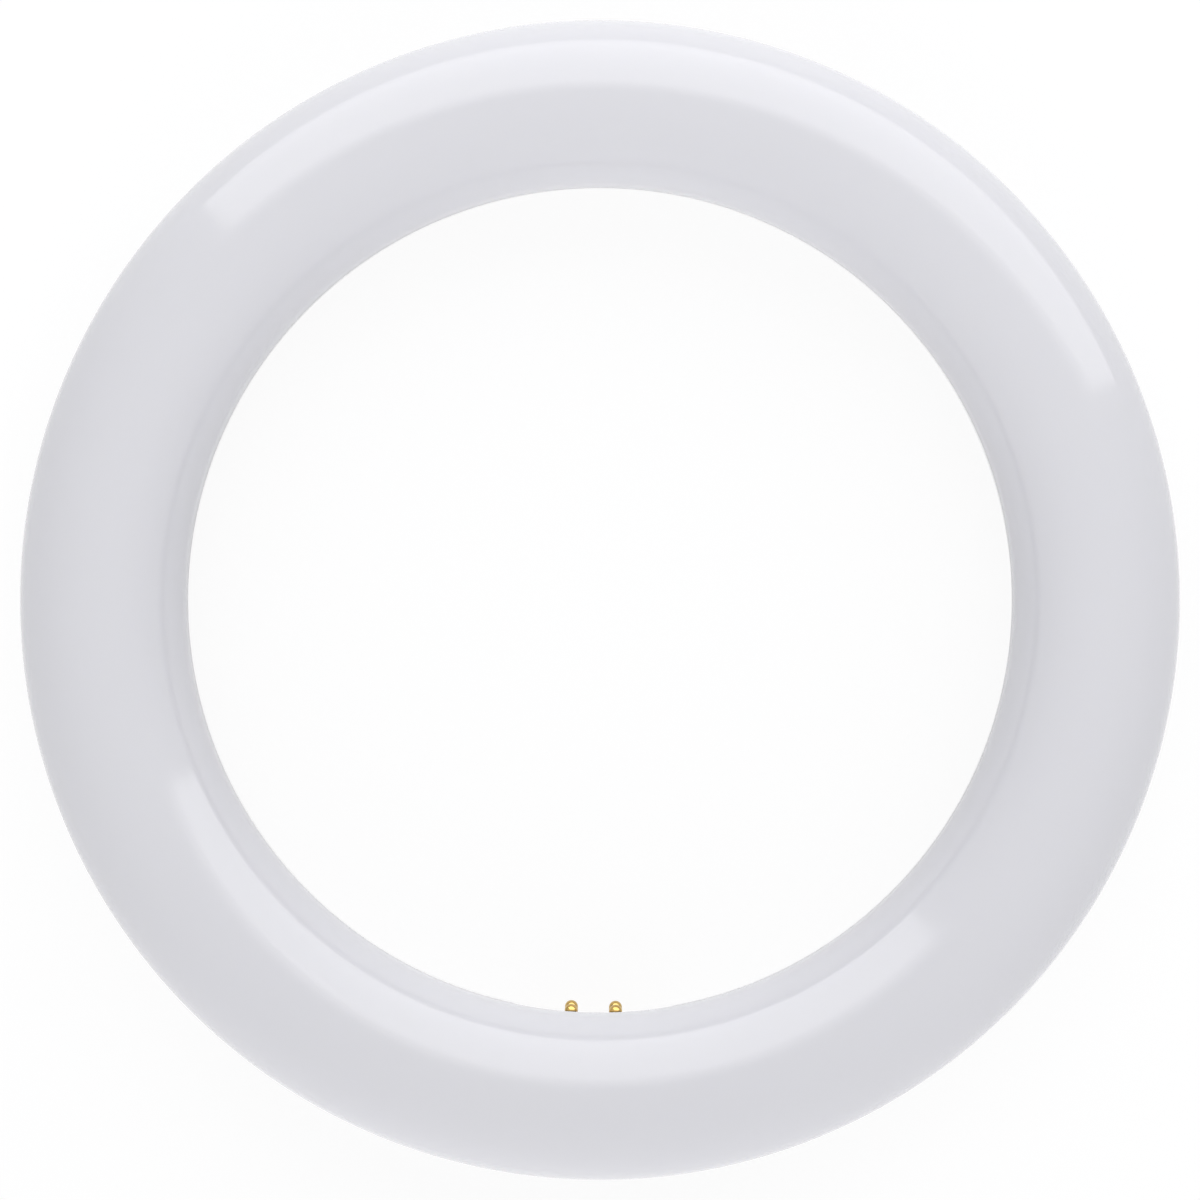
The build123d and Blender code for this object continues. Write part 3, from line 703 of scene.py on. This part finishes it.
pointed = add_node(
    four_pins,
    "GeometryNodeTransform",
    Geometry=spread_out.outputs[0],
    Rotation=(-math.pi / 2, 0, 0),
    Translation=given["Middle"],
)
end_tree(four_pins, pointed.outputs[0], given["Material"])

# %% Turn the four pins
pin_names = [f"contact_pin_{number}" for number in range(1, 5)]
pin_boxes = [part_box(name) for name in pin_names]
pin_centres = [(low + high) / 2 for low, high in pin_boxes]
across = max(centre.x for centre in pin_centres) - min(centre.x for centre in pin_centres)
rows = max(centre.z for centre in pin_centres) - min(centre.z for centre in pin_centres)
middle_height = sum(centre.z for centre in pin_centres) / len(pin_centres)
base_face = pin_high.y - pin_length
turn_steps = 64
axis_radius = merge_distance / 4
contact_pins = grow(
    "contact_pins",
    outline_mesh("pin profile", pin_profile, closed=False),
    four_pins,
    Axis_Radius=axis_radius,
    Turn_Steps=turn_steps,
    Across=across,
    Along=rows,
    Middle=(0, base_face, middle_height),
    Material=brass,
)
clean(contact_pins)
print(f"pins on {across / MM:.2f} x {rows / MM:.2f} mm")
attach(contact_pins, "root")
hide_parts(*pin_names)

# %% [markdown]
# ## LED packages
#
# Under the diffuser, two rows of LED packages run round an aluminium board. Each is a small white
# frame with a dished window of yellow phosphor. One package is a stack of four rounded loops: the
# foot, the rim, the edge of the window and its floor. Sixty of the same thing on two circles is a
# job for instances, so a tree puts that package on the points of each circle and turns it to face
# along its radius.

# %% One LED package
led_low, led_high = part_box("led_chips")
led_height = led_high.z - led_low.z
led_width = 2.8 * MM
led_length = 3.5 * MM
body_round = 0.12 * MM
window_margin = 0.4 * MM
window_depth = 0.15 * MM
window_round = 0.35 * MM
window_lean = 0.08 * MM
corner_steps = 3


def rounded_loop(width, length, corner, height):
    """Points round a rectangle with rounded corners, at a height."""
    points = []
    for quarter, (side, end) in enumerate(((1, 1), (-1, 1), (-1, -1), (1, -1))):
        centre = (side * (width / 2 - corner), end * (length / 2 - corner))
        turn = arc(centre, corner, 90 * quarter, 90 * quarter + 90, corner_steps)
        points += [(x, y, height) for x, y in turn]
    return points


def stack_loops(name, loops):
    """A closed mesh through loops of equally many points, with a cap on the first and on the last."""
    count = len(loops[0])
    points = [point for loop in loops for point in loop]
    faces = [tuple(reversed(range(count))), tuple(range(len(points) - count, len(points)))]
    for first in range(0, len(points) - count, count):
        for number in range(count):
            after = (number + 1) % count
            faces.append((first + number, first + after, first + count + after, first + count + number))
    mesh = bpy.data.meshes.new(name)
    mesh.from_pydata(points, [], faces)
    return mesh


window_width = led_width - 2 * window_margin
window_length = led_length - 2 * window_margin
package_seed = stack_loops(
    "led package",
    [
        rounded_loop(led_width, led_length, body_round, 0),
        rounded_loop(led_width, led_length, body_round, led_height),
        rounded_loop(window_width, window_length, window_round, led_height),
        rounded_loop(
            window_width - 2 * window_lean,
            window_length - 2 * window_lean,
            window_round - window_lean,
            led_height - window_depth,
        ),
    ],
)
print(f"{len(package_seed.polygons)} faces in a package")

# %% LED finish: white frame, yellow phosphor in the window
led_finish = new_material(
    "led package",
    moulded_skin,
    {
        "Colour": (0.82, 0.81, 0.78, 1),
        "Cloud Colour": (0.78, 0.77, 0.73, 1),
        "Cloud Scale": 300.0,
        "Grain Scale": 9000.0,
        "Wave Height": 0.002 * MM,
        "Grain Height": 0.002 * MM,
        "Roughness": 0.35,
        "Roughness Change": 0.1,
    },
    IOR=1.5,
)
phosphor = (0.80, 0.56, 0.10, 1)
level_facing = 0.9
tree = led_finish.node_tree
sunk = sums(tree, "LESS_THAN", position(tree)["Z"], led_high.z - window_depth / 2)
level = sums(tree, "GREATER_THAN", facing_up(tree), level_facing)
second_colour(led_finish, sums(tree, "MULTIPLY", sunk, level), phosphor)

# %% Tree that sets a seed on two circles
two_rows, given = new_tree(
    "pieces on two circles",
    {
        "Seed": "Geometry",
        "Inner Radius": "Float",
        "Outer Radius": "Float",
        "Count": "Int",
        "Height": "Vector",
        "Material": "Material",
    },
)
rows_of_points = two_rows.nodes.new("GeometryNodeJoinGeometry")
for radius in ("Inner Radius", "Outer Radius"):
    row = add_node(two_rows, "GeometryNodeMeshCircle", Radius=given[radius], Vertices=given["Count"])
    two_rows.links.new(row.outputs[0], rows_of_points.inputs[0])
where = two_rows.nodes.new("GeometryNodeInputPosition")
turned = add_node(two_rows, "FunctionNodeAlignRotationToVector", Vector=where.outputs[0])
turned.axis = "X"
turned.pivot_axis = "Z"
on_points = add_node(
    two_rows,
    "GeometryNodeInstanceOnPoints",
    Points=rows_of_points.outputs[0],
    Instance=given["Seed"],
    Rotation=turned.outputs[0],
)
raised = add_node(
    two_rows, "GeometryNodeTransform", Geometry=on_points.outputs[0], Translation=given["Height"]
)
end_tree(two_rows, raised.outputs[0], given["Material"])

# %% Set the sixty packages
board_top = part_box("led_board")[1].z
row_offset = 5.5 * MM
packages_in_row = 30
led_packages = grow(
    "led_packages",
    package_seed,
    two_rows,
    Inner_Radius=ring_radius - row_offset,
    Outer_Radius=ring_radius + row_offset,
    Count=packages_in_row,
    Height=(0, 0, board_top),
    Material=led_finish,
)
clean(led_packages)
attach(led_packages, "root")
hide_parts("led_chips")

# %% [markdown]
# ## Boards, screws and the driver's parts
#
# The pieces inside keep their CAD form, and each gets the finish of the real part: white solder
# mask on aluminium, green fibre board, zinc-plated screws, ferrite, copper wire, polyester tape,
# epoxy and PVC. Legs, end caps and solder are metal on a part of another colour. They could be cut
# off as pieces of their own, but a mask that tells them apart by where they are leaves the mesh
# whole: it is 1 where a point lies past the body of its part, and paints bare metal there.


# %% Finishes of the boards and metals
def plain_skin(name, colour, cloud_colour, roughness, grain_height=0.004, **constants):
    """A moulded or dipped finish of the driver's small parts."""
    return new_material(
        name,
        moulded_skin,
        {
            "Colour": (*colour, 1),
            "Cloud Colour": (*cloud_colour, 1),
            "Cloud Scale": 220.0,
            "Grain Scale": 6000.0,
            "Wave Height": 0.01 * MM,
            "Grain Height": grain_height * MM,
            "Roughness": roughness,
            "Roughness Change": 0.1,
        },
        **constants,
    )


white_mask = plain_skin("white solder mask", (0.80, 0.81, 0.80), (0.76, 0.77, 0.76), 0.28)
green_mask = plain_skin("green fibre board", (0.035, 0.16, 0.06), (0.05, 0.20, 0.08), 0.3)
zinc = new_material(
    "zinc plating",
    drawn_metal,
    {"Colour": (0.62, 0.63, 0.65, 1), "Tarnish": (0.42, 0.42, 0.43, 1), "Roughness": 0.22},
    Metallic=1.0,
)
finish_node(white_mask, "led_board")
finish_node(green_mask, "driver_board")
finish_node(zinc, "led_board_screws", "driver_screws")

# %% Bare metal where a mask says so
tin = (0.66, 0.66, 0.64, 1)
aluminium = (0.74, 0.74, 0.75, 1)


def bare_metal(material, mask, colour=tin):
    """Lets bare metal show through a finish where a mask socket is 1."""
    second_colour(material, mask, colour)
    material.node_tree.links.new(mask, material.node_tree.nodes["Principled BSDF"].inputs["Metallic"])


def from_middle(tree, turn, reach):
    """How far a point lies from a part's middle: clockwise along the ring, and outwards across it."""
    axes = position(tree)
    square = sums(tree, "MULTIPLY_ADD", axes["X"], axes["X"], sums(tree, "MULTIPLY", axes["Y"], axes["Y"]))
    distance = sums(tree, "SQRT", square)
    turned_by = sums(tree, "SUBTRACT", turn, sums(tree, "ARCTAN2", axes["Y"], axes["X"]))
    return sums(tree, "MULTIPLY", turned_by, distance), sums(tree, "SUBTRACT", distance, reach)


def middle_of(name):
    """The direction of a node's middle round the ring's axis, and its distance from that axis."""
    low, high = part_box(name)
    middle = (low + high) / 2
    return math.atan2(middle.y, middle.x), math.hypot(middle.x, middle.y)


# %% Bare edges and underside of the LED board
masked_facing = 0.5
tree = white_mask.node_tree
bare_metal(white_mask, sums(tree, "LESS_THAN", facing_up(tree), masked_facing), aluminium)

# %% Finishes of the wound parts and the film capacitor
ferrite = new_material(
    "ferrite",
    speckle,
    {"Colour": (0.028, 0.028, 0.03, 1), "Grain Colour": (0.09, 0.09, 0.095, 1)},
    Roughness=0.55,
)
copper = new_material(
    "enamelled copper",
    drawn_metal,
    {
        "Colour": (0.72, 0.28, 0.10, 1),
        "Tarnish": (0.40, 0.12, 0.04, 1),
        "Line Stretch": (40.0, 40.0, 9000.0),
        "Line Height": 0.05 * MM,
    },
    Metallic=1.0,
    Coat_Weight=0.6,
)
bobbin = plain_skin("phenolic bobbin", (0.03, 0.028, 0.026), (0.045, 0.04, 0.035), 0.4)
tape = plain_skin("polyester tape", (0.74, 0.52, 0.06), (0.66, 0.44, 0.04), 0.25, IOR=1.6)
red_film = plain_skin("film capacitor case", (0.45, 0.07, 0.03), (0.38, 0.05, 0.025), 0.35)
finish_node(ferrite, "transformer_core", "choke_core")
finish_node(copper, "choke_winding")
finish_node(bobbin, "transformer_bobbin")
finish_node(tape, "transformer_winding")
finish_node(red_film, "filter_capacitor")

# %% Finishes of the varistor and the fuse resistor
driver_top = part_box("driver_board")[1].z
varistor_lift = 1.0 * MM
fuse_waist = 2.7 * MM
blue_epoxy = plain_skin("blue epoxy", (0.035, 0.10, 0.36), (0.05, 0.13, 0.42), 0.25, 0.012)
tree = blue_epoxy.node_tree
bare_metal(blue_epoxy, sums(tree, "LESS_THAN", position(tree)["Z"], driver_top + varistor_lift))
finish_node(blue_epoxy, "varistor")
green_lacquer = plain_skin("green lacquer", (0.16, 0.30, 0.20), (0.12, 0.25, 0.16), 0.35, 0.01)
tree = green_lacquer.node_tree
to_the_end = sums(tree, "ABSOLUTE", from_middle(tree, *middle_of("fuse_resistor"))[0])
bare_metal(green_lacquer, sums(tree, "GREATER_THAN", to_the_end, fuse_waist))
finish_node(green_lacquer, "fuse_resistor")

# %% Moulded packages, with legs on both sides
body_widths = {"bridge_rectifier": 3.9 * MM, "driver_chip": 3.9 * MM, "output_diode": 4.3 * MM}
for name, width in body_widths.items():
    black_epoxy = plain_skin(f"{name} epoxy", (0.025, 0.025, 0.027), (0.04, 0.04, 0.042), 0.45, 0.006)
    tree = black_epoxy.node_tree
    to_the_side = sums(tree, "ABSOLUTE", from_middle(tree, *middle_of(name))[1])
    bare_metal(black_epoxy, sums(tree, "GREATER_THAN", to_the_side, width / 2))
    finish_node(black_epoxy, name)

# %% Electrolytic cans: a printed sleeve that leaves the far end bare, and two legs at the near one
can_places = {"input_capacitor": (-39.0, 13.0 * MM), "output_capacitor": (-20.5, 11.0 * MM)}
sleeve_edge = 0.3 * MM
bung_room = 0.05 * MM
for name, (turn, length) in can_places.items():
    sleeve = plain_skin(f"{name} sleeve", (0.02, 0.025, 0.05), (0.03, 0.035, 0.065), 0.3)
    tree = sleeve.node_tree
    to_the_legs = from_middle(tree, math.radians(turn), ring_radius)[0]
    legs = sums(tree, "GREATER_THAN", to_the_legs, length / 2 + bung_room)
    bare_end = sums(tree, "LESS_THAN", to_the_legs, sleeve_edge - length / 2)
    bare_metal(sleeve, sums(tree, "MAXIMUM", legs, bare_end), aluminium)
    finish_node(sleeve, name)

# %% Leads, and the solder of the two that come up through the LED board
white_pvc = plain_skin("white lead", (0.74, 0.74, 0.73), (0.70, 0.70, 0.69), 0.4, IOR=1.53)
red_pvc = plain_skin("red lead", (0.55, 0.035, 0.03), (0.50, 0.03, 0.025), 0.4, IOR=1.53)
black_pvc = plain_skin("black lead", (0.02, 0.02, 0.02), (0.03, 0.03, 0.03), 0.4, IOR=1.53)
finish_node(white_pvc, *[f"pin_lead_{number}" for number in range(1, 5)])
for lead, name in ((red_pvc, "led_lead_positive"), (black_pvc, "led_lead_negative")):
    tree = lead.node_tree
    bare_metal(lead, sums(tree, "GREATER_THAN", position(tree)["Z"], board_top))
    finish_node(lead, name)
print("finishes:", ", ".join(sorted(material.name for material in bpy.data.materials if material.users)))

# %% [markdown]
# ## Floor and walls
#
# The lamp lies on a white table in plain studio light. The floor is a dull white that shows brighter
# to the camera and in reflections, as the backdrop does, and keeps a soft shadow. The walls could be
# built and lit one by one, but the world does their work more evenly: light comes in from the near
# side, a little from the left and a little from above.

# %% Floor
floor_size = 8.0
floor_drop = 0.05 * MM
floor_shade = (0.62, 0.62, 0.63, 1)
floor_glow = 1.12
glow_share = 0.80


def seen_directly(tree):
    """A mask of the rays that show a background: to the camera, in a reflection or through glass."""
    rays = tree.nodes.new("ShaderNodeLightPath").outputs
    seen = sums(tree, "MAXIMUM", rays["Is Camera Ray"], rays["Is Glossy Ray"])
    return sums(tree, "MAXIMUM", seen, rays["Is Transmission Ray"])


floor_mesh = bpy.data.meshes.new("floor")
half = floor_size / 2
floor_corners = [(-half, -half), (half, -half), (half, half), (-half, half)]
floor_mesh.from_pydata([(x, y, -floor_drop) for x, y in floor_corners], [], [(0, 1, 2, 3)])
floor = place(bpy.data.objects.new("floor", floor_mesh))
floor_paint = bpy.data.materials.new("white floor")
floor_paint.use_nodes = True
tree = floor_paint.node_tree
tree.nodes.remove(tree.nodes["Principled BSDF"])
dull = add_node(tree, "ShaderNodeBsdfDiffuse", Color=floor_shade)
glow = add_node(tree, "ShaderNodeEmission", Strength=floor_glow)
blend = add_node(tree, "ShaderNodeMixShader", Fac=sums(tree, "MULTIPLY", seen_directly(tree), glow_share))
tree.links.new(dull.outputs[0], blend.inputs[1])
tree.links.new(glow.outputs[0], blend.inputs[2])
tree.links.new(blend.outputs[0], tree.nodes["Material Output"].inputs["Surface"])
floor_mesh.materials.append(floor_paint)

# %% Pale walls of the studio
overhead_light = 0.10
near_wall = 2.52
left_wall = 0.36
backdrop_glow = 1.0
studio = bpy.data.worlds.new("studio")
studio.use_nodes = True
tree = studio.node_tree
direction = tree.nodes.new("ShaderNodeTexCoord").outputs["Generated"]
axes = add_node(tree, "ShaderNodeSeparateXYZ", Vector=direction).outputs
strength = sums(tree, "MULTIPLY", sums(tree, "MAXIMUM", axes["Z"], 0.0), overhead_light)
for axis, wall_light in (("Y", near_wall), ("X", left_wall)):
    towards = sums(tree, "MINIMUM", axes[axis], 0.0)
    wall = sums(tree, "MULTIPLY", towards, towards)
    strength = sums(tree, "MULTIPLY_ADD", wall, wall_light, strength)
strength = spread(tree, seen_directly(tree), strength, backdrop_glow)
tree.links.new(strength, tree.nodes["Background"].inputs["Strength"])
tree.nodes["Background"].inputs["Color"].default_value = (1, 1, 1, 1)
scene.world = studio

# %% [markdown]
# ## Softbox
#
# A glossy tube is read by its highlights, and those are mirror images of a light. One tall softbox
# hangs behind the far side of the ring, brightest low down and fading upwards. It draws the long
# highlights, on the outside of the tube at the top of the picture and on its inside at the bottom.
# A plain area light would give them a hard edge all round. A colour ramp up its height, on the
# light's own Parametric coordinates, gives them a soft edge on one side.

# %% Softbox
softbox_distance = 0.8
softbox_left = -0.83
softbox_right = 1.80
softbox_low = 0.0
softbox_high = 3.2
softbox_glow = 1.95
softbox_fade = ((0.0, 0.5), (0.03, 0.84), (0.42, 1.0), (0.49, 1.0), (0.54, 0.6), (1.0, 0.0))
softbox_light = bpy.data.lights.new("softbox", "AREA")
softbox_light.shape = "RECTANGLE"
softbox_light.size = softbox_right - softbox_left
softbox_light.size_y = softbox_high - softbox_low
softbox_light.energy = math.pi * softbox_light.size * softbox_light.size_y * softbox_glow
softbox_light.use_nodes = True
tree = softbox_light.node_tree
across_light = tree.nodes.new("ShaderNodeNewGeometry").outputs["Parametric"]
height_share = add_node(tree, "ShaderNodeSeparateXYZ", Vector=across_light).outputs["Y"]
fade = add_node(tree, "ShaderNodeValToRGB", Fac=height_share)
stops = fade.color_ramp.elements
stops.remove(stops[1])
for share, brightness in softbox_fade:
    stop = stops.new(share) if share else stops[0]
    stop.color = (brightness, brightness, brightness, 1)
tree.links.new(fade.outputs["Color"], tree.nodes["Emission"].inputs["Strength"])
softbox = place(bpy.data.objects.new("softbox", softbox_light))
softbox.location = ((softbox_left + softbox_right) / 2, softbox_distance, (softbox_low + softbox_high) / 2)
softbox.rotation_euler = (math.pi / 2, 0, math.pi)

# %% [markdown]
# ## Camera
#
# Seen from straight above the ring is a true circle. A long lens at a good distance keeps the tube
# from hiding its own inner side, and the camera is rolled a little, so that the pins stand as they
# do in the picture. Standard is the view transform that shows a colour as it is written.

# %% Camera, straight above the ring
camera_height = 650 * MM
camera_roll = math.radians(0.92)
lens = 110.15
film_width = 36
camera_data = bpy.data.cameras.new("camera")
camera_data.lens = lens
camera_data.sensor_width = film_width
camera = place(bpy.data.objects.new("camera", camera_data))
camera.location = (0, 0, parting + camera_height)
camera.rotation_euler = (0, 0, camera_roll)
scene.camera = camera
scene.view_settings.view_transform = "Standard"
